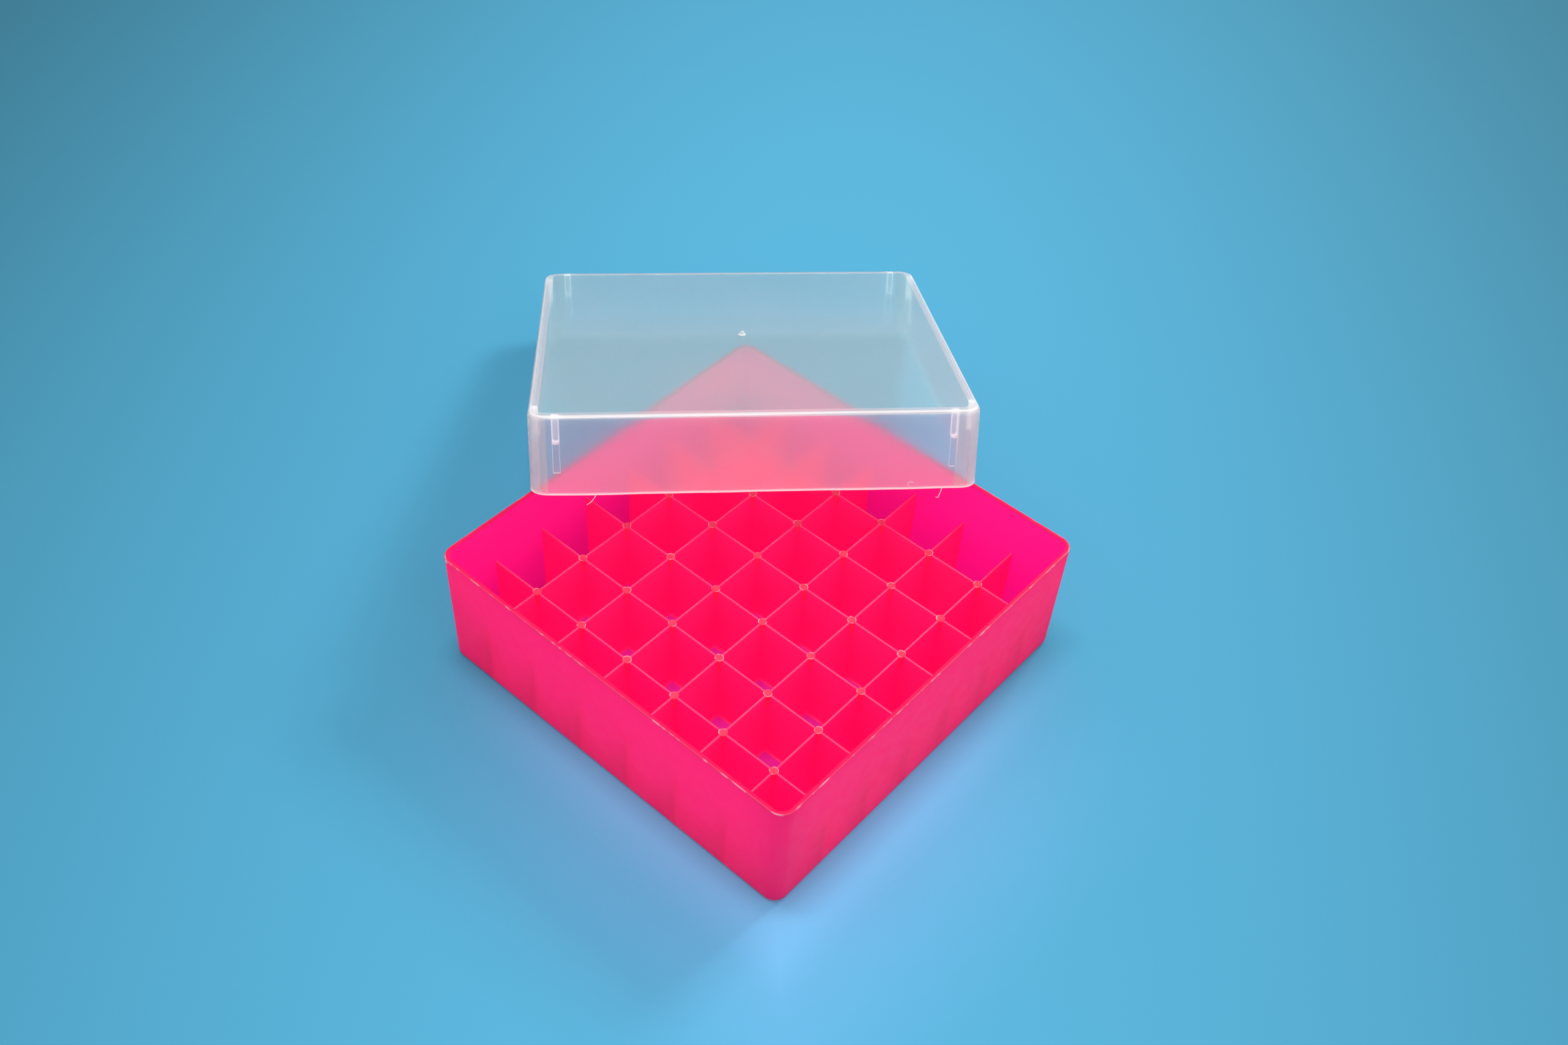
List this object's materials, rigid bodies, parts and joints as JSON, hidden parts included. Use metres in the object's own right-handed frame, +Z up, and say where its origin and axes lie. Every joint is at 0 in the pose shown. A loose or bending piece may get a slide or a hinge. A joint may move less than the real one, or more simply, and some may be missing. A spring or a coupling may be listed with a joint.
{
  "type": "cryogenic storage box",
  "caption": "Square plastic freezer storage box for sample tubes: an open tray with a moulded grid of square cells, and a separate hollow friction-fit lid leaning on its far corner.",
  "frame": {"origin": "centre of the tray's underside, on the surface that the tray stands on", "axes": "+Z up out of the tray's mouth; +X and +Y along the tray's sides, with the leaning lid over the +X +Y corner"},
  "size_m": [0.2168, 0.2187, 0.0677],
  "materials": {
    "tray_plastic": "fluorescent pink translucent moulded polypropylene, satin",
    "lid_plastic": "natural milky translucent moulded polypropylene, satin"
  },
  "bodies": {
    "tray": {"base_tray": "tray_plastic", "row_divider_1": "tray_plastic", "row_divider_2": "tray_plastic", "row_divider_3": "tray_plastic", "row_divider_4": "tray_plastic", "row_divider_5": "tray_plastic", "row_divider_6": "tray_plastic", "column_divider_1": "tray_plastic", "column_divider_2": "tray_plastic", "column_divider_3": "tray_plastic", "column_divider_4": "tray_plastic", "column_divider_5": "tray_plastic", "column_divider_6": "tray_plastic", "crossing_bosses": "tray_plastic"},
    "lid": {"lid_shell": "lid_plastic", "stop_ribs": "lid_plastic", "grip_ribs": "lid_plastic", "gate_mark": "lid_plastic"}
  },
  "joints": [
    {"name": "lid_lift", "type": "slide", "parent": "tray", "child": "lid", "axis": [0, 0, 1], "range_m": [0, 0.06]}
  ]
}
